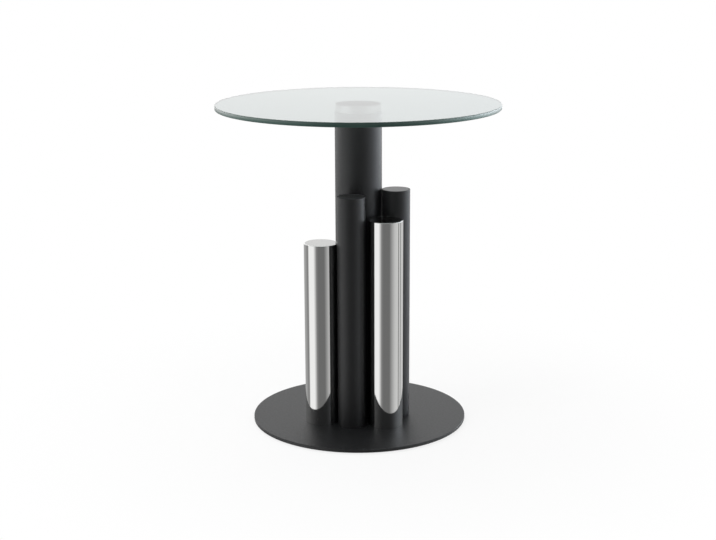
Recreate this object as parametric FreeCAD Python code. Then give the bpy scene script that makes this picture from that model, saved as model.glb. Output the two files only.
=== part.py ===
"""Glass side table: round glass on a dark column, with four tubes round the column on a round plate.

Millimetres. The origin is on the floor under the middle of the table, +Z is up and -Y is the front.
"""
import FreeCAD, Part
import math
import os

# Overall sizes
table_height = 577.0
glass_diameter = 500.0
glass_thickness = 8.0
glass_arris = 0.8
base_diameter = 386.0
base_thickness = 6.0
base_edge_radius = 1.0

# Disc glued under the glass, a little smaller than the column that it stands on
disc_setback = 1.0
disc_thickness = 13.5
disc_edge_chamfer = 0.6

# Column
column_diameter = 83.0
column_wall = 2.0
column_edge_chamfer = 0.5
head_plug_height = 16.0
column_foot_height = 14.0

# Tubes round the column: polished ones are thicker than dark ones
chrome_diameter = 60.0
dark_diameter = 50.0
tube_wall = 2.0
tube_edge_radius = 0.5
cap_thickness = 4.0
cap_edge_chamfer = 0.3
tube_foot_height = 14.0

# How far the top of each tube stays below the underside of the glass
left_chrome_headroom = 231.5
front_dark_headroom = 145.5
right_chrome_headroom = 187.0
rear_dark_headroom = 142.5

# Free space between the column and each tube, and between neighbouring tubes
chrome_to_column_gap = 9.0
dark_to_column_gap = 0.6
left_to_front_gap = 2.2
front_to_right_gap = 5.7
right_to_rear_gap = 1.6
front_tube_turn = -11.4

# Fasteners: a stud under the glass, countersunk screws under the plate
stud_diameter = 10.0
stud_grip_in_disc = 6.5
stud_grip_in_plug = 13.0
stud_end_chamfer = 1.0
stud_socket_flats = 5.0
stud_socket_depth = 4.0
screw_diameter = 8.0
screw_head_diameter = 16.0
screw_end_chamfer = 1.0
screw_socket_flats = 5.0
screw_socket_depth = 2.6
screw_head_recess = 0.3
screw_tip_room = 1.5
column_screw_count = 3
column_screw_edge = 14.0

# Felt glides under the plate
glide_diameter = 24.0
glide_thickness = 2.0
glide_edge_chamfer = 0.4
glide_inset = 12.0
glide_count = 6

# Fits
press_clearance = 0.06
thread_clearance = 0.05
screw_hole_clearance = 0.5
stud_hole_bottom_room = 1.0
cut_overrun = 1.0

# Heights worked out from the sizes above
plate_bottom = glide_thickness
plate_top = plate_bottom + base_thickness
glass_bottom = table_height - glass_thickness
disc_bottom = glass_bottom - disc_thickness
column_length = disc_bottom - plate_top
UP = FreeCAD.Vector(0, 0, 1)


def point(x, y, z):
    return FreeCAD.Vector(x, y, z)


def cylinder(diameter, height, x, y, z):
    """Upright cylinder with the middle of its lower face at x, y, z."""
    return Part.makeCylinder(diameter / 2, height, point(x, y, z), UP)


def revolved(outline, x, y):
    """Solid of revolution of a closed outline of (radius, height) corners about the upright line at x, y."""
    corners = [point(x + radius, y, height) for radius, height in outline]
    face = Part.Face(Part.makePolygon(corners + corners[:1]))
    return face.revolve(point(x, y, 0), UP, 360)


def rims(shape, diameter, z):
    """The round edges of a shape that have this diameter and lie at this height."""
    found = []
    for edge in shape.Edges:
        if not isinstance(edge.Curve, Part.Circle):
            continue
        if math.isclose(edge.Curve.Radius, diameter / 2) and math.isclose(edge.Curve.Center.z, z):
            found.append(edge)
    return found


def hexagon_prism(flats, height, x, y, z):
    """Upright hexagonal prism, flats apart across its sides, with its lower face at height z."""
    corner_radius = flats / math.sqrt(3)
    turns = [math.radians(60 * side) for side in range(6)]
    corners = []
    for turn in turns:
        corners.append(point(x + corner_radius * math.cos(turn), y + corner_radius * math.sin(turn), z))
    face = Part.Face(Part.makePolygon(corners + corners[:1]))
    return face.extrude(UP * height)


def ring_of_places(circle_diameter, count):
    """Points evenly spaced on a circle about the middle of the table, the first one at the back."""
    turns = [math.radians(90 + 360 / count * step) for step in range(count)]
    return [(circle_diameter / 2 * math.cos(turn), circle_diameter / 2 * math.sin(turn)) for turn in turns]


# Places of the tubes: each keeps its gap to the column and to its neighbour
def distance_from_axis(diameter, gap):
    return column_diameter / 2 + gap + diameter / 2


def turn_between(first_distance, second_distance, apart):
    """Angle at the middle of the table between two tubes whose axes lie apart from each other."""
    cosine = (first_distance**2 + second_distance**2 - apart**2) / (2 * first_distance * second_distance)
    return math.degrees(math.acos(cosine))


chrome_distance = distance_from_axis(chrome_diameter, chrome_to_column_gap)
dark_distance = distance_from_axis(dark_diameter, dark_to_column_gap)
touching = (chrome_diameter + dark_diameter) / 2
left_turn = front_tube_turn - turn_between(chrome_distance, dark_distance, touching + left_to_front_gap)
right_turn = front_tube_turn + turn_between(chrome_distance, dark_distance, touching + front_to_right_gap)
rear_turn = right_turn + turn_between(chrome_distance, dark_distance, touching + right_to_rear_gap)

# Name, diameter, distance from the middle, turn from the front, height of the top below the glass
tubes = [
    ("left_chrome", chrome_diameter, chrome_distance, left_turn, left_chrome_headroom),
    ("front_dark", dark_diameter, dark_distance, front_tube_turn, front_dark_headroom),
    ("right_chrome", chrome_diameter, chrome_distance, right_turn, right_chrome_headroom),
    ("rear_dark", dark_diameter, dark_distance, rear_turn, rear_dark_headroom),
]


def tube_place(distance, turn):
    return distance * math.sin(math.radians(turn)), -distance * math.cos(math.radians(turn))


tube_places = [tube_place(distance, turn) for name, diameter, distance, turn, headroom in tubes]


# Glass, its disc and the stud
def make_glass_top():
    glass = cylinder(glass_diameter, glass_thickness, 0, 0, glass_bottom)
    edges = rims(glass, glass_diameter, glass_bottom) + rims(glass, glass_diameter, table_height)
    return glass.makeChamfer(glass_arris, edges)


disc_diameter = column_diameter - 2 * disc_setback
stud_hole_diameter = stud_diameter + 2 * thread_clearance


def make_bonding_disc():
    disc = cylinder(disc_diameter, disc_thickness, 0, 0, disc_bottom)
    disc = disc.makeChamfer(disc_edge_chamfer, rims(disc, disc_diameter, disc_bottom))
    hole_depth = stud_grip_in_disc + stud_hole_bottom_room
    hole = cylinder(stud_hole_diameter, hole_depth + cut_overrun, 0, 0, disc_bottom - cut_overrun)
    return disc.cut(hole)


def make_top_stud():
    length = stud_grip_in_plug + stud_grip_in_disc
    bottom = disc_bottom - stud_grip_in_plug
    stud = cylinder(stud_diameter, length, 0, 0, bottom)
    ends = rims(stud, stud_diameter, bottom) + rims(stud, stud_diameter, bottom + length)
    stud = stud.makeChamfer(stud_end_chamfer, ends)
    socket = hexagon_prism(stud_socket_flats, stud_socket_depth + cut_overrun, 0, 0, bottom - cut_overrun)
    return stud.cut(socket)


# Column and its two plugs
column_bore = column_diameter - 2 * column_wall
column_plug_diameter = column_bore - 2 * press_clearance


def make_pipe(diameter, wall, length, x, y):
    """Tube that stands on the plate."""
    outside = cylinder(diameter, length, x, y, plate_top)
    bore = cylinder(diameter - 2 * wall, length + 2 * cut_overrun, x, y, plate_top - cut_overrun)
    return outside.cut(bore)


def make_column_tube():
    pipe = make_pipe(column_diameter, column_wall, column_length, 0, 0)
    return pipe.makeChamfer(column_edge_chamfer, rims(pipe, column_diameter, disc_bottom))


def make_column_head_plug():
    bottom = disc_bottom - head_plug_height
    plug = cylinder(column_plug_diameter, head_plug_height, 0, 0, bottom)
    hole = cylinder(stud_hole_diameter, head_plug_height + 2 * cut_overrun, 0, 0, bottom - cut_overrun)
    return plug.cut(hole)


tapped_diameter = screw_diameter + 2 * thread_clearance
column_screw_places = ring_of_places(column_plug_diameter - 2 * column_screw_edge, column_screw_count)


def make_foot_plug(diameter, height, x, y, screw_places):
    """Round plug that fills the foot of a tube, with a tapped hole for each screw."""
    plug = cylinder(diameter, height, x, y, plate_top)
    for screw_x, screw_y in screw_places:
        hole = cylinder(tapped_diameter, height + 2 * cut_overrun, screw_x, screw_y, plate_top - cut_overrun)
        plug = plug.cut(hole)
    return plug


# One tube of the group, its flush cap and its foot plug
def make_tube(diameter, length, x, y):
    pipe = make_pipe(diameter, tube_wall, length, x, y)
    return pipe.makeFillet(tube_edge_radius, rims(pipe, diameter, plate_top + length))


def make_cap(diameter, top, x, y):
    cap_diameter = diameter - 2 * tube_wall - 2 * press_clearance
    cap = cylinder(cap_diameter, cap_thickness, x, y, top - cap_thickness)
    return cap.makeChamfer(cap_edge_chamfer, rims(cap, cap_diameter, top))


# Plate, screws and glides
screw_hole_diameter = screw_diameter + 2 * screw_hole_clearance
screw_head_bottom = plate_bottom + screw_head_recess
head_cone_height = (screw_head_diameter - screw_diameter) / 2
sink_diameter = screw_head_diameter + 2 * screw_hole_clearance


def make_base_plate():
    plate = cylinder(base_diameter, base_thickness, 0, 0, plate_bottom)
    edges = rims(plate, base_diameter, plate_bottom) + rims(plate, base_diameter, plate_top)
    plate = plate.makeFillet(base_edge_radius, edges)
    sink_outline = [
        (0, plate_bottom - cut_overrun),
        (sink_diameter / 2, plate_bottom - cut_overrun),
        (sink_diameter / 2, screw_head_bottom),
        (screw_hole_diameter / 2, screw_head_bottom + head_cone_height),
        (screw_hole_diameter / 2, plate_top + cut_overrun),
        (0, plate_top + cut_overrun),
    ]
    for x, y in column_screw_places + tube_places:
        plate = plate.cut(revolved(sink_outline, x, y))
    return plate


def make_screw(foot_height, x, y):
    """Countersunk screw whose head lies in the plate and whose end stays inside the foot plug."""
    tip = plate_top + foot_height - screw_tip_room
    outline = [
        (0, screw_head_bottom),
        (screw_head_diameter / 2, screw_head_bottom),
        (screw_diameter / 2, screw_head_bottom + head_cone_height),
        (screw_diameter / 2, tip - screw_end_chamfer),
        (screw_diameter / 2 - screw_end_chamfer, tip),
        (0, tip),
    ]
    socket_height = screw_socket_depth + cut_overrun
    socket = hexagon_prism(screw_socket_flats, socket_height, x, y, screw_head_bottom - cut_overrun)
    return revolved(outline, x, y).cut(socket)


def make_screws(foot_height, places):
    return Part.makeCompound([make_screw(foot_height, x, y) for x, y in places])


def make_felt_glides():
    circle = base_diameter - 2 * glide_inset - glide_diameter
    glides = []
    for x, y in ring_of_places(circle, glide_count):
        glide = cylinder(glide_diameter, glide_thickness, x, y, 0)
        glides.append(glide.makeChamfer(glide_edge_chamfer, rims(glide, glide_diameter, 0)))
    return Part.makeCompound(glides)


# Every piece under its own name
pieces = {
    "glass_top": make_glass_top(),
    "bonding_disc": make_bonding_disc(),
    "top_stud": make_top_stud(),
    "column_tube": make_column_tube(),
    "column_head_plug": make_column_head_plug(),
    "column_foot_plug": make_foot_plug(column_plug_diameter, column_foot_height, 0, 0, column_screw_places),
    "base_plate": make_base_plate(),
    "column_screws": make_screws(column_foot_height, column_screw_places),
    "tube_screws": make_screws(tube_foot_height, tube_places),
    "felt_glides": make_felt_glides(),
}
for (name, diameter, distance, turn, headroom), (x, y) in zip(tubes, tube_places):
    top = glass_bottom - headroom
    plug_diameter = diameter - 2 * tube_wall - 2 * press_clearance
    pieces[name + "_tube"] = make_tube(diameter, top - plate_top, x, y)
    pieces[name + "_cap"] = make_cap(diameter, top, x, y)
    pieces[name + "_foot_plug"] = make_foot_plug(plug_diameter, tube_foot_height, x, y, [(x, y)])

os.makedirs("parts", exist_ok=True)
for node, shape in pieces.items():
    shape.exportStep(os.path.join("parts", node + ".step"))
    print(node, len(shape.Solids), "solids, valid", shape.isValid(), "volume", round(shape.Volume))
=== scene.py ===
import math

import bpy
import numpy as np
from mathutils import Matrix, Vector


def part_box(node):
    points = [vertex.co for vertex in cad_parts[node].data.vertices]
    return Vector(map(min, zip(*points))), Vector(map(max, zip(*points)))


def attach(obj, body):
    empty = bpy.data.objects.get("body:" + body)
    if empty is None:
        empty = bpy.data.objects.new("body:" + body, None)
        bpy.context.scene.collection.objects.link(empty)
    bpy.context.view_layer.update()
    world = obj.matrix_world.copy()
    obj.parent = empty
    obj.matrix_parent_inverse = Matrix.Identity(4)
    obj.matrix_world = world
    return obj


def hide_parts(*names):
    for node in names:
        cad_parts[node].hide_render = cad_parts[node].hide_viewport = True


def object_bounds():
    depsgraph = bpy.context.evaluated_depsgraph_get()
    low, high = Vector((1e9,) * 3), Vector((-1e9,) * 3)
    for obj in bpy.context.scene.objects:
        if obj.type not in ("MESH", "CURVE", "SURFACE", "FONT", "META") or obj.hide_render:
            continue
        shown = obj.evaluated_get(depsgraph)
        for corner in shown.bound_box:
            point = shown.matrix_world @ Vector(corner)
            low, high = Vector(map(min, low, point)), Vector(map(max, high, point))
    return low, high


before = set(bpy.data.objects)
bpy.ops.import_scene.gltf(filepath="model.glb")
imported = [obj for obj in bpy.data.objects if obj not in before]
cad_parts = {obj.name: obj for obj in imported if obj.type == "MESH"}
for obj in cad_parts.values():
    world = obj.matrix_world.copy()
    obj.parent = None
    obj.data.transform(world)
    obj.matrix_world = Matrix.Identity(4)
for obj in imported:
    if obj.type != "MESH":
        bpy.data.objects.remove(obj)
cad_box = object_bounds()

# Glass side table: lengths are in metres and angles in degrees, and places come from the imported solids

# Wall and edge sizes that a solid's box doesn't give
glass_arris = 0.0008
hairline = 0.0003
column_wall = 0.002
column_edge = 0.0005
tube_wall = 0.002
tube_edge = 0.0005
cap_edge = 0.0003
disc_edge = 0.0006
glue_bond = 0.00005
stud_hole_radius = 0.00505
stud_hole_depth = 0.0075
glide_radius = 0.012
glide_edge = 0.0005
glide_count = 6
first_glide_angle = 90.0

# Fineness of the turned surfaces
arc_steps = 8
steps_round_tube = 160
steps_round_glass = 320
steps_round_glide = 48

# Camera at the photograph's place, with its focal length in the photograph's pixels
photo_width = 716
camera_distance = 2.4285
camera_height = 0.877
camera_pitch = 13.884
camera_heading = 0.0366
camera_roll = -0.225
camera_focal_pixels = 1392.4
sensor_width = 36.0

# Studio in shiny surfaces: each panel's angle from the camera's side, to the right, and its brightness
floor_panels = (
    (-180, 0.55),
    (-125, 0.42),
    (-98, 0.25),
    (-93, 0.7),
    (-87, 1.12),
    (-51, 1.12),
    (-30, 0.27),
    (-17, 0.192),
    (22, 0.192),
    (44, 0.48),
    (64, 0.7),
    (88, 0.78),
    (91, 0.1),
    (94, 0.1),
    (97, 0.75),
    (109, 0.75),
    (112, 0.1),
    (115, 0.1),
    (118, 0.75),
    (180, 0.6),
)
wall_panels = (
    (-180, 1.28),
    (-165, 1.25),
    (-143, 3.4),
    (-115, 4.8),
    (-100, 4.2),
    (-85, 2.3),
    (-63, 1.05),
    (-41, 0.48),
    (-20, 0.22),
    (0, 0.13),
    (20, 0.15),
    (40, 0.54),
    (60, 1.3),
    (80, 4.4),
    (100, 8.5),
    (120, 9.6),
    (143, 5.6),
    (165, 1.5),
    (180, 1.28),
)
high_panels = (
    (-180, 1.22),
    (-143, 1.1),
    (-110, 0.9),
    (-80, 0.5),
    (-50, 0.18),
    (-30, 0.02),
    (30, 0.02),
    (50, 0.18),
    (80, 0.9),
    (110, 1.3),
    (140, 1.2),
    (165, 1.2),
    (180, 1.22),
)
overhead_panel = 0.75
cool_side = (0.94, 1.0, 1.08)

# Sines of the heights between which one row of panels gives way to the next
wall_foot = (-0.12, -0.07)
wall_top = (0.04, 0.12)
overhead_start = (0.55, 0.85)

# Light on matt surfaces: the studio all round, and two square softboxes
studio_light = 0.62
overhead_lamp_place = (-0.4, 0.3, 2.6)
overhead_lamp_size = 2.4
overhead_lamp_power = 30.0
left_lamp_place = (-2.4, -1.6, 1.9)
left_lamp_size = 1.6
left_lamp_power = 28.0

# Floor, with its brightness through the glass: far off, by angle as above, and close under the table
floor_colour = (0.86, 0.86, 0.86)
floor_half = 9.0
floor_drop = 0.0002
floor_white_share = 0.8
shadow_reach = (0.28, 0.75)
far_through_glass = (
    (-180, 0.44),
    (-158, 0.44),
    (-135, 0.85),
    (-90, 1.09),
    (-45, 1.5),
    (0, 1.8),
    (45, 1.75),
    (90, 0.68),
    (135, 0.6),
    (158, 0.44),
    (180, 0.44),
)
near_through_glass = 0.92
near_reach = (0.8, 3.9)

# Colours and shine of the finishes
glass_ior = 1.52
glass_body = (0.12, 0.6, 0.52)
glass_density = 18.0
# The glass edge is opaque: its dim green and green-tinted shine are painted light standing in for light
# that leaves the glass there, and the coat on its upper half is a painted sheen
painted_edge_glow_green = (0.022, 0.05, 0.043)
edge_specular = 0.62
edge_tint = (0.72, 1.0, 0.88)
edge_coat = (0.0, 1.0)
edge_coat_roughness = 0.35
edge_blend = 0.001
coat_ior = 1.5
dark_coat = (0.0105, 0.011, 0.0118)
# Painted light on the dark lids: their colour is a lighter copy of the dark coat
dark_lid_painted_light = (0.0165, 0.017, 0.0178)
chrome_colour = (0.76, 0.76, 0.75)
# Painted shade on the chrome lids: their colour is about half the chrome's, besides their satin finish
lid_colour_painted_shade = (0.365, 0.363, 0.354)
turned_colour = (0.3, 0.3, 0.295)
glued_colour = (0.38, 0.38, 0.37)
steel_colour = (0.5, 0.5, 0.5)
zinc_colour = (0.62, 0.63, 0.66)
felt_colour = (0.03, 0.03, 0.032)
felt_sheen = 0.4
felt_sheen_roughness = 0.5

# Middle stretch of the noise that the finishes use, and how finely it is broken up
noise_span = (0.3, 0.7)
speckle_detail = 4.0
mottle_detail = 3.0

# Places of the factor, the two colours and the result among a colour Mix node's sockets
mix_factor = 0
mix_first = 6
mix_second = 7
mix_result = 2


# Turned surfaces
def rounded_outline(corners, closed):
    """Radii, heights and normals along an outline of (radius, height, rounding) corners.

    An arc tangent to both sides takes the place of each corner, and the normal turns evenly along it,
    so the straight stretches between the arcs keep the normal of a true flat, wall or cone.
    """
    points = np.array([corner[:2] for corner in corners], float)
    count = len(points)
    places, normals = [], []
    for i in range(count):
        rounding = corners[i][2] if len(corners[i]) > 2 else 0.0
        before, after = points[i] - points[i - 1], points[(i + 1) % count] - points[i]
        if not closed and i == 0:
            before = after
        if not closed and i == count - 1:
            after = before
        before, after = before / np.hypot(*before), after / np.hypot(*after)
        start = math.atan2(-before[0], before[1])
        bend = math.atan2(before[0] * after[1] - before[1] * after[0], before @ after)
        steps = arc_steps if rounding else 1
        turn = start + bend * np.linspace(0, 1, steps)
        normal = np.stack([np.cos(turn), np.sin(turn)], 1)
        side = math.copysign(1, bend)
        first = points[i] - before * rounding * math.tan(abs(bend) / 2)
        places.append(first + side * rounding * (normal - normal[:1]))
        normals.append(normal)
    return np.concatenate(places), np.concatenate(normals)


def turned_surface(corners, x, y, steps_round, closed=False):
    """Surface of revolution of an outline about the upright line at x, y.

    The outline's point (r, z) at angle t lies at (x + r cos t, y + r sin t, z). A closed outline makes
    a ring. An open one starts and ends on the axis, where one point closes the surface.
    """
    outline, outline_normals = rounded_outline(corners, closed)
    ring = outline if closed else outline[1:-1]
    ring_normals = outline_normals if closed else outline_normals[1:-1]
    angles = 2 * math.pi * np.arange(steps_round) / steps_round
    spread = np.stack([np.cos(angles), np.sin(angles)], 1)

    def swept(profile):
        """The profile's points, or its normals, at every angle."""
        flat = profile[:, None, :1] * spread[None]
        upright = np.broadcast_to(profile[:, None, 1:], flat.shape[:2] + (1,))
        return np.concatenate([flat, upright], 2).reshape(-1, 3)

    vertices, normals = swept(ring), swept(ring_normals)
    rows = np.arange(len(ring) if closed else len(ring) - 1)[:, None]
    step = np.arange(steps_round)[None]
    here, there = rows * steps_round, (rows + 1) % len(ring) * steps_round
    following = (step + 1) % steps_round
    quads = np.stack([here + step, here + following, there + following, there + step], 2).reshape(-1, 4)
    triangles = np.empty((0, 3), int)
    if not closed:
        low, high = len(vertices), len(vertices) + 1
        last = (len(ring) - 1) * steps_round
        steps, nexts = step[0], following[0]
        low_fan = np.stack([np.full_like(steps, low), nexts, steps], 1)
        high_fan = np.stack([last + steps, last + nexts, np.full_like(steps, high)], 1)
        triangles = np.concatenate([low_fan, high_fan])
        ends = np.array([[0, 0, outline[0, 1]], [0, 0, outline[-1, 1]]])
        end_normals = np.array([[0, 0, outline_normals[0, 1]], [0, 0, outline_normals[-1, 1]]])
        vertices = np.concatenate([vertices, ends])
        normals = np.concatenate([normals, end_normals])
    return vertices + np.array([x, y, 0.0]), normals, quads, triangles


def new_piece(name, surfaces, material, slot, *nodes):
    """One mesh from turned surfaces, riding on the table and standing for the named solids."""
    points, point_normals, quads, triangles = zip(*surfaces)
    starts = np.cumsum([0] + [len(place) for place in points])
    quads = np.concatenate([start + face for start, face in zip(starts, quads)])
    triangles = np.concatenate([start + face for start, face in zip(starts, triangles)])
    vertices = np.concatenate(points)
    normals = np.concatenate(point_normals)
    mesh = bpy.data.meshes.new(name)
    mesh.from_pydata(vertices.tolist(), [], quads.tolist() + triangles.tolist())
    mesh.shade_smooth()
    mesh.normals_split_custom_set_from_vertices(normals.tolist())
    mesh.materials.append(material)
    piece = bpy.data.objects.new(name, mesh)
    bpy.context.scene.collection.objects.link(piece)
    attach(piece, "root")
    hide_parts(*nodes)
    return piece


def face_centres(piece):
    """Middle of each face, one row for each."""
    centres = np.empty(3 * len(piece.data.polygons))
    piece.data.polygons.foreach_get("center", centres)
    return centres.reshape(-1, 3)


def second_finish(piece, finish, chosen):
    """Gives the chosen faces of a piece a finish of their own."""
    piece.data.materials.append(finish)
    piece.data.polygons.foreach_set("material_index", chosen.astype(np.int32))


def round_box(node):
    """Axis, radius, bottom and top of an upright round solid."""
    low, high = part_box(node)
    return (low.x + high.x) / 2, (low.y + high.y) / 2, (high.x - low.x) / 2, low.z, high.z


# Nodes
def add(tree, kind, sockets=(), **settings):
    """New node with its settings, and with plain values or links put on its sockets."""
    node = tree.nodes.new(kind)
    for key, value in settings.items():
        setattr(node, key, value)
    for key, value in dict(sockets).items():
        if isinstance(value, bpy.types.NodeSocket):
            tree.links.new(value, node.inputs[key])
        else:
            node.inputs[key].default_value = value
    return node


def ramped(tree, value, span, first=0.0, last=1.0, blend="LINEAR"):
    """First value below the span, last above it, and an even or smooth change between."""
    sockets = {"Value": value, "From Min": span[0], "From Max": span[1], "To Min": first, "To Max": last}
    return add(tree, "ShaderNodeMapRange", sockets, interpolation_type=blend).outputs["Result"]


def new_group(name, inputs, outputs):
    """Empty shader node group with named sockets, and the sockets to read and to feed inside it."""
    tree = bpy.data.node_groups.new(name, "ShaderNodeTree")
    for socket, kind in inputs:
        tree.interface.new_socket(socket, in_out="INPUT", socket_type=kind)
    for socket, kind in outputs:
        tree.interface.new_socket(socket, in_out="OUTPUT", socket_type=kind)
    return tree, tree.nodes.new("NodeGroupInput").outputs, tree.nodes.new("NodeGroupOutput").inputs


def speckle_group():
    """Value between Low and High that wanders over the surface as fine noise."""
    inputs = [
        ("Vector", "NodeSocketVector"),
        ("Scale", "NodeSocketFloat"),
        ("Low", "NodeSocketFloat"),
        ("High", "NodeSocketFloat"),
    ]
    tree, given, result = new_group("speckle", inputs, [("Value", "NodeSocketFloat")])
    grain = {"Vector": given["Vector"], "Scale": given["Scale"], "Detail": speckle_detail}
    noise = add(tree, "ShaderNodeTexNoise", grain).outputs["Fac"]
    tree.links.new(ramped(tree, noise, noise_span, given["Low"], given["High"]), result["Value"])
    return tree


def mottle_group():
    """Colour that is darkened a little, by up to Amount, in soft patches."""
    inputs = [
        ("Vector", "NodeSocketVector"),
        ("Scale", "NodeSocketFloat"),
        ("Colour", "NodeSocketColor"),
        ("Amount", "NodeSocketFloat"),
    ]
    tree, given, result = new_group("mottle", inputs, [("Colour", "NodeSocketColor")])
    patches = {"Vector": given["Vector"], "Scale": given["Scale"], "Detail": mottle_detail}
    noise = add(tree, "ShaderNodeTexNoise", patches).outputs["Fac"]
    share = add(tree, "ShaderNodeMath", {0: noise, 1: given["Amount"]}, operation="MULTIPLY").outputs[0]
    keep = add(tree, "ShaderNodeMath", {0: 1.0, 1: share}, operation="SUBTRACT").outputs[0]
    shade = add(tree, "ShaderNodeVectorMath", {0: given["Colour"], "Scale": keep}, operation="SCALE")
    tree.links.new(shade.outputs["Vector"], result["Colour"])
    return tree


speckle = speckle_group()
mottle = mottle_group()


def new_material(name):
    """Material with a Principled shader on its surface, and the piece's own coordinates."""
    material = bpy.data.materials.new(name)
    material.use_nodes = True
    tree = material.node_tree
    tree.nodes.clear()
    shader = add(tree, "ShaderNodeBsdfPrincipled")
    add(tree, "ShaderNodeOutputMaterial", {"Surface": shader.outputs["BSDF"]})
    place = add(tree, "ShaderNodeTexCoord").outputs["Object"]
    return material, tree, shader, place


def stretched(tree, place, x, y, z):
    """Coordinates scaled along each axis, so that a pattern grows longer where a scale is small."""
    return add(tree, "ShaderNodeMapping", {"Vector": place, "Scale": (x, y, z)}).outputs["Vector"]


def use_speckle(tree, place, scale, low, high):
    """Speckled value of a material, between low and high."""
    sockets = {"Vector": place, "Scale": scale, "Low": low, "High": high}
    return add(tree, "ShaderNodeGroup", sockets, node_tree=speckle).outputs["Value"]


def use_mottle(tree, place, scale, colour, amount):
    """Mottled colour of a material, darkened by up to amount."""
    sockets = {"Vector": place, "Scale": scale, "Colour": (*colour, 1.0), "Amount": amount}
    return add(tree, "ShaderNodeGroup", sockets, node_tree=mottle).outputs["Colour"]


def bump(tree, height, strength, distance):
    """Normal of a surface that a height raises by up to the distance."""
    sockets = {"Height": height, "Strength": strength, "Distance": distance}
    return add(tree, "ShaderNodeBump", sockets).outputs["Normal"]


def feed(tree, shader, **links):
    """Links values to the shader's sockets, which are named with _ for a space."""
    for key, value in links.items():
        tree.links.new(value, shader.inputs[key.replace("_", " ")])


# Finishes
def clear_glass():
    """Clear glass whose body soaks up red most, so that long ways through it look green."""
    material, tree, shader, place = new_material("clear_glass")
    shader.inputs["Base Color"].default_value = (1.0, 1.0, 1.0, 1.0)
    shader.inputs["Transmission Weight"].default_value = 1.0
    shader.inputs["IOR"].default_value = glass_ior
    feed(tree, shader, Roughness=use_speckle(tree, place, scale=9.0, low=0.0, high=0.012))
    body = {"Color": (*glass_body, 1.0), "Density": glass_density}
    absorb = add(tree, "ShaderNodeVolumeAbsorption", body)
    tree.links.new(absorb.outputs["Volume"], tree.get_output_node("ALL").inputs["Volume"])
    return material


def glass_edge():
    """Opaque smooth edge painted dim green: painted light standing in for the light that has gone a long
    way through the glass and comes out there.

    Its upper half has a coat, a painted sheen for the light that comes in through the top and leaves there.
    """
    material, tree, shader, place = new_material("glass_edge")
    shader.inputs["IOR"].default_value = glass_ior
    shader.inputs["Specular IOR Level"].default_value = edge_specular
    shader.inputs["Specular Tint"].default_value = (*edge_tint, 1.0)
    shader.inputs["Coat Roughness"].default_value = edge_coat_roughness
    low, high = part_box("glass_top")
    middle = (low.z + high.z) / 2
    level = add(tree, "ShaderNodeSeparateXYZ", {"Vector": place}).outputs["Z"]
    feed(
        tree,
        shader,
        Base_Color=use_mottle(tree, place, scale=60.0, colour=painted_edge_glow_green, amount=0.3),
        Roughness=use_speckle(tree, place, scale=400.0, low=0.33, high=0.41),
        Coat_Weight=ramped(tree, level, (middle - edge_blend, middle + edge_blend), *edge_coat),
    )
    return material


def powder_coat(name, colour, low, high):
    """Near-black satin powder coat with a fine pebbled skin, as rough as low to high."""
    material, tree, shader, place = new_material(name)
    shader.inputs["IOR"].default_value = coat_ior
    pebbles = use_speckle(tree, place, scale=1500.0, low=0.0, high=1.0)
    feed(
        tree,
        shader,
        Base_Color=use_mottle(tree, place, scale=45.0, colour=colour, amount=0.25),
        Roughness=use_speckle(tree, place, scale=260.0, low=low, high=high),
        Normal=bump(tree, pebbles, strength=0.12, distance=0.0001),
    )
    return material


def polished_chrome(name, colour, low, high):
    """Polished plate with faint upright polishing lines, as rough as low to high."""
    material, tree, shader, place = new_material(name)
    shader.inputs["Metallic"].default_value = 1.0
    lines = stretched(tree, place, x=1.0, y=1.0, z=0.02)
    feed(
        tree,
        shader,
        Base_Color=use_mottle(tree, place, scale=14.0, colour=colour, amount=0.04),
        Roughness=use_speckle(tree, lines, scale=700.0, low=low, high=high),
    )
    return material


def turned_steel(name, colour):
    """Steel with the fine rings that a lathe leaves about the table's axis."""
    material, tree, shader, place = new_material(name)
    shader.inputs["Metallic"].default_value = 1.0
    flat = stretched(tree, place, x=1.0, y=1.0, z=0.0)
    radius = add(tree, "ShaderNodeVectorMath", {0: flat}, operation="LENGTH").outputs["Value"]
    level = add(tree, "ShaderNodeSeparateXYZ", {"Vector": place}).outputs["Z"]
    along = add(tree, "ShaderNodeMath", {0: radius, 1: level}, operation="ADD").outputs[0]
    rings = add(tree, "ShaderNodeCombineXYZ", {"X": along}).outputs["Vector"]
    feed(
        tree,
        shader,
        Base_Color=use_mottle(tree, rings, scale=900.0, colour=colour, amount=0.2),
        Roughness=use_speckle(tree, rings, scale=2500.0, low=0.06, high=0.12),
    )
    return material


def machined_steel(name, colour, low, high):
    """Plain machined or plated steel with a slightly uneven sheen."""
    material, tree, shader, place = new_material(name)
    shader.inputs["Metallic"].default_value = 1.0
    feed(
        tree,
        shader,
        Base_Color=use_mottle(tree, place, scale=160.0, colour=colour, amount=0.2),
        Roughness=use_speckle(tree, place, scale=900.0, low=low, high=high),
    )
    return material


def black_felt():
    """Pressed felt: dark matted fibres with a soft nap."""
    material, tree, shader, place = new_material("black_felt")
    shader.inputs["Sheen Weight"].default_value = felt_sheen
    shader.inputs["Sheen Roughness"].default_value = felt_sheen_roughness
    strands = stretched(tree, place, x=1.0, y=0.25, z=1.0)
    fibres = use_speckle(tree, strands, scale=2200.0, low=0.0, high=1.0)
    feed(
        tree,
        shader,
        Base_Color=use_mottle(tree, place, scale=1200.0, colour=felt_colour, amount=0.5),
        Roughness=use_speckle(tree, place, scale=600.0, low=0.88, high=0.98),
        Normal=bump(tree, fibres, strength=0.6, distance=0.0003),
    )
    return material


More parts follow.
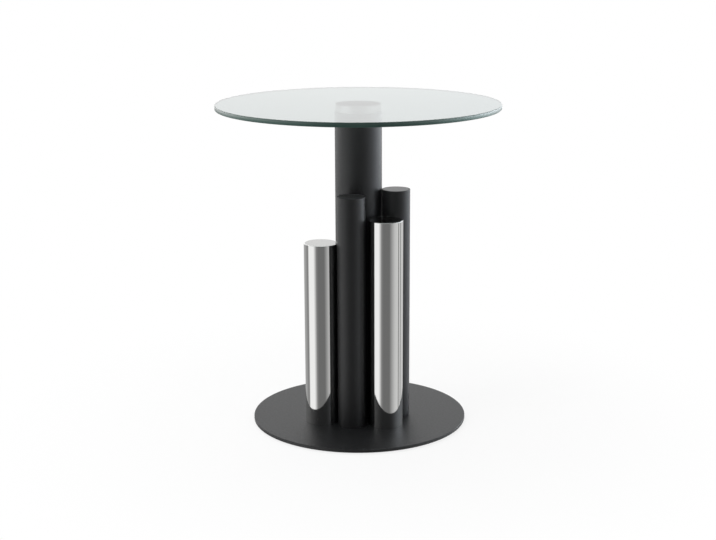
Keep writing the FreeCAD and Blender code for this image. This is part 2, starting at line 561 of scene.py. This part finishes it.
# Pieces
glass_finish = clear_glass()
edge_finish = glass_edge()
coat = powder_coat("dark_powder_coat", dark_coat, low=0.43, high=0.5)
# The dark lids get a glossier and lighter copy of the coat; the lighter colour is painted light
lid_coat_painted_light = powder_coat("dark_lid_coat", dark_lid_painted_light, low=0.33, high=0.39)
chrome = polished_chrome("polished_chrome", chrome_colour, low=0.03, high=0.07)
# The chrome lids are satin and darkened to about half the chrome's colour, which is painted shade
lid_chrome_painted_shade = polished_chrome("satin_lid_chrome", lid_colour_painted_shade, low=0.12, high=0.2)
turned = turned_steel("turned_steel", turned_colour)
glued = turned_steel("glued_steel", glued_colour)
plain_steel = machined_steel("plain_steel", steel_colour, low=0.32, high=0.45)
zinc = machined_steel("zinc_steel", zinc_colour, low=0.22, high=0.34)
felt = black_felt()


def make_glass():
    """Flat disc of glass with a straight polished edge and a narrow arris above and below."""
    x, y, radius, bottom, top = round_box("glass_top")
    corners = [
        (0, bottom),
        (radius - glass_arris, bottom, hairline),
        (radius, bottom + glass_arris, hairline),
        (radius, top - glass_arris, hairline),
        (radius - glass_arris, top, hairline),
        (0, top),
    ]
    surface = turned_surface(corners, x, y, steps_round_glass)
    piece = new_piece("glass_disc", [surface], glass_finish, "clear_glass", "glass_top")
    # Clear glass lets the lamps' light through to what stands under it
    piece.visible_shadow = False
    centres = face_centres(piece)
    reach = np.hypot(centres[:, 0] - x, centres[:, 1] - y)
    second_finish(piece, edge_finish, reach > radius - glass_arris)


def make_disc():
    """Turned disc with a blind hole for the stud on its underside.

    Its glued face reaches a hair into the glass, because the glue leaves no air between them to shine.
    """
    x, y, radius, bottom, top = round_box("bonding_disc")
    top = top + glue_bond
    corners = [
        (0, bottom + stud_hole_depth),
        (stud_hole_radius, bottom + stud_hole_depth, hairline),
        (stud_hole_radius, bottom, hairline),
        (radius, bottom, disc_edge),
        (radius, top, hairline),
        (0, top),
    ]
    surface = turned_surface(corners, x, y, steps_round_tube)
    piece = new_piece("glass_carrier_disc", [surface], turned, "brushed_disc", "bonding_disc")
    second_finish(piece, glued, face_centres(piece)[:, 2] > top - hairline / arc_steps)


def make_pipe(name, node, wall, edge, finish, slot):
    """Upright pipe: a ring outline with its upper outer edge rounded."""
    x, y, radius, bottom, top = round_box(node)
    corners = [
        (radius - wall, bottom, hairline),
        (radius, bottom, hairline),
        (radius, top, edge),
        (radius - wall, top, hairline),
    ]
    surface = turned_surface(corners, x, y, steps_round_tube, closed=True)
    new_piece(name, [surface], finish, slot, node)


def make_cap(name, node, finish, slot):
    """Flat lid that lies flush in the mouth of a pipe."""
    x, y, radius, bottom, top = round_box(node)
    corners = [(0, bottom), (radius, bottom, hairline), (radius, top, cap_edge), (0, top)]
    surface = turned_surface(corners, x, y, steps_round_tube)
    new_piece(name, [surface], finish, slot, node)


def make_glides():
    """Round felt pads, evenly spaced on a circle, the first one at the back."""
    low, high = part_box("felt_glides")
    circle = high.y - glide_radius
    corners = [
        (0, low.z),
        (glide_radius, low.z, glide_edge),
        (glide_radius, high.z, glide_edge),
        (0, high.z),
    ]
    turns = [math.radians(first_glide_angle + 360 / glide_count * i) for i in range(glide_count)]
    places = [(circle * math.cos(turn), circle * math.sin(turn)) for turn in turns]
    surfaces = [turned_surface(corners, x, y, steps_round_glide) for x, y in places]
    new_piece("felt_pads", surfaces, felt, "black_felt", "felt_glides")


make_glass()
make_disc()
make_pipe("column", "column_tube", column_wall, column_edge, coat, "dark_powder_coat")
tube_finishes = (
    ("left_chrome", chrome, lid_chrome_painted_shade, "polished_chrome"),
    ("front_dark", coat, lid_coat_painted_light, "dark_powder_coat"),
    ("right_chrome", chrome, lid_chrome_painted_shade, "polished_chrome"),
    ("rear_dark", coat, lid_coat_painted_light, "dark_powder_coat"),
)
for tube, finish, lid_finish, slot in tube_finishes:
    make_pipe(tube + "_pipe", tube + "_tube", tube_wall, tube_edge, finish, slot)
    make_cap(tube + "_lid", tube + "_cap", lid_finish, slot)
make_glides()

# Solids that keep their own shape get their finish
kept_finishes = {"base_plate": coat, "column_screws": zinc, "tube_screws": zinc, "top_stud": zinc}
plugs = [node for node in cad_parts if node.endswith("_plug")]
kept_finishes.update({node: plain_steel for node in plugs})
for node, finish in kept_finishes.items():
    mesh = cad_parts[node].data
    mesh.materials.clear()
    mesh.materials.append(finish)


# Stage
def grey(brightness):
    """Colour without a tint."""
    return (brightness, brightness, brightness, 1.0)


def mixed(tree, share, first, second):
    """First colour at a share of 0, second at 1."""
    sockets = {mix_factor: share, mix_first: first, mix_second: second}
    return add(tree, "ShaderNodeMix", sockets, data_type="RGBA").outputs[mix_result]


def panel_ring(tree, vector, panels):
    """Brightness in the direction of a vector, blended evenly from one panel's angle to the next.

    The angle is the arctangent of the vector's right-hand share over its share towards the camera's side.
    """
    part = add(tree, "ShaderNodeSeparateXYZ", {"Vector": vector}).outputs
    front = add(tree, "ShaderNodeMath", {0: part["Y"], 1: -1.0}, operation="MULTIPLY").outputs[0]
    angle = add(tree, "ShaderNodeMath", {0: part["X"], 1: front}, operation="ARCTAN2").outputs[0]
    ramp = add(tree, "ShaderNodeValToRGB", {"Fac": ramped(tree, angle, (-math.pi, math.pi))})
    stops = ramp.color_ramp.elements
    for number, (degrees, brightness) in enumerate(panels):
        position = (degrees + 180) / 360
        ends = {0: stops[0], len(panels) - 1: stops[len(stops) - 1]}
        stop = ends[number] if number in ends else stops.new(position)
        stop.position = position
        stop.color = grey(brightness)
    return ramp.outputs["Color"]


def make_floor():
    """White floor that keeps the table's soft shadow. Shiny surfaces look past it into the studio."""
    material = bpy.data.materials.new("studio_floor")
    material.use_nodes = True
    tree = material.node_tree
    tree.nodes.clear()
    path = add(tree, "ShaderNodeLightPath").outputs
    place = add(tree, "ShaderNodeTexCoord").outputs["Object"]
    away = add(tree, "ShaderNodeVectorMath", {0: place}, operation="LENGTH").outputs["Value"]
    paper = use_mottle(tree, place, scale=3.0, colour=floor_colour, amount=0.02)
    lit = add(tree, "ShaderNodeBsdfDiffuse", {"Color": paper}).outputs["BSDF"]
    white = add(tree, "ShaderNodeEmission", {"Color": grey(1.0)}).outputs["Emission"]
    clear = add(tree, "ShaderNodeBsdfTransparent").outputs["BSDF"]
    nearness = ramped(tree, away, near_reach, 1.0, 0.0, blend="SMOOTHSTEP")
    dimmed = mixed(tree, nearness, panel_ring(tree, place, far_through_glass), grey(near_through_glass))
    under_glass = add(tree, "ShaderNodeEmission", {"Color": dimmed}).outputs["Emission"]
    whiteness = ramped(tree, away, shadow_reach, floor_white_share, 1.0, blend="SMOOTHSTEP")
    seen = {0: path["Is Camera Ray"], 1: whiteness}
    share = add(tree, "ShaderNodeMath", seen, operation="MULTIPLY").outputs[0]
    shown = add(tree, "ShaderNodeMixShader", {0: share, 1: lit, 2: white}).outputs[0]
    mirrored = add(tree, "ShaderNodeMixShader", {0: path["Is Glossy Ray"], 1: shown, 2: clear}).outputs[0]
    passing = {0: path["Is Transmission Ray"], 1: mirrored, 2: under_glass}
    through = add(tree, "ShaderNodeMixShader", passing).outputs[0]
    add(tree, "ShaderNodeOutputMaterial", {"Surface": through})
    level = cad_box[0].z - floor_drop
    corners = floor_half * np.array([[-1, -1], [1, -1], [1, 1], [-1, 1]])
    mesh = bpy.data.meshes.new("studio_floor")
    mesh.from_pydata([(x, y, level) for x, y in corners.tolist()], [], [(0, 1, 2, 3)])
    mesh.materials.append(material)
    floor = bpy.data.objects.new("studio_floor", mesh)
    bpy.context.scene.collection.objects.link(floor)


def make_studio():
    """Surroundings: white to the camera, even light on matt surfaces, panels round the table in shiny ones.

    Shiny surfaces see dim floor panels low down, brighter wall panels above them, dimmer high panels over
    those, and an even panel overhead. The light is cooler on the right.
    """
    world = bpy.data.worlds.new("studio")
    bpy.context.scene.world = world
    world.use_nodes = True
    tree = world.node_tree
    tree.nodes.clear()
    path = add(tree, "ShaderNodeLightPath").outputs
    direction = add(tree, "ShaderNodeTexCoord").outputs["Generated"]
    part = add(tree, "ShaderNodeSeparateXYZ", {"Vector": direction}).outputs
    right, height = part["X"], part["Z"]
    tint = mixed(tree, ramped(tree, right, (0.0, 1.0)), grey(1.0), (*cool_side, 1.0))
    low, high = panel_ring(tree, direction, wall_panels), panel_ring(tree, direction, high_panels)
    walls = mixed(tree, ramped(tree, height, wall_top), low, high)
    walls = add(tree, "ShaderNodeVectorMath", {0: walls, 1: tint}, operation="MULTIPLY").outputs["Vector"]
    above = mixed(tree, ramped(tree, height, overhead_start), walls, grey(overhead_panel))
    below = panel_ring(tree, direction, floor_panels)
    mirrored = mixed(tree, ramped(tree, height, wall_foot), below, above)
    light = mixed(tree, path["Is Glossy Ray"], grey(studio_light), mirrored)
    distance = panel_ring(tree, direction, far_through_glass)
    light = mixed(tree, path["Is Transmission Ray"], light, distance)
    light = mixed(tree, path["Is Camera Ray"], light, grey(1.0))
    glow = add(tree, "ShaderNodeBackground", {"Color": light, "Strength": 1.0})
    add(tree, "ShaderNodeOutputWorld", {"Surface": glow.outputs["Background"]})


def make_lamp(name, place, size, power):
    """Square softbox that faces the middle of the table. Shiny surfaces see the studio's panels instead."""
    light = bpy.data.lights.new(name, "AREA")
    light.size = size
    light.energy = power
    lamp = bpy.data.objects.new(name, light)
    bpy.context.scene.collection.objects.link(lamp)
    middle = (cad_box[0] + cad_box[1]) / 2
    lamp.location = place
    lamp.rotation_euler = (middle - lamp.location).to_track_quat("-Z", "Y").to_euler()
    lamp.visible_glossy = False
    lamp.visible_transmission = False


def make_camera():
    """Camera in front of the table, turned by its heading, then its pitch, then its roll."""
    data = bpy.data.cameras.new("photo_camera")
    data.sensor_width = sensor_width
    data.lens = camera_focal_pixels * sensor_width / photo_width
    camera = bpy.data.objects.new("photo_camera", data)
    bpy.context.scene.collection.objects.link(camera)
    turn = Matrix.Rotation(math.radians(camera_heading), 4, "Z")
    turn = turn @ Matrix.Rotation(math.radians(90 - camera_pitch), 4, "X")
    turn = turn @ Matrix.Rotation(math.radians(camera_roll), 4, "Z")
    camera.matrix_world = Matrix.Translation((0, -camera_distance, camera_height)) @ turn
    bpy.context.scene.camera = camera


make_floor()
make_studio()
make_lamp("overhead_softbox", overhead_lamp_place, overhead_lamp_size, overhead_lamp_power)
make_lamp("left_softbox", left_lamp_place, left_lamp_size, left_lamp_power)
make_camera()
bpy.context.scene.view_settings.view_transform = "Standard"
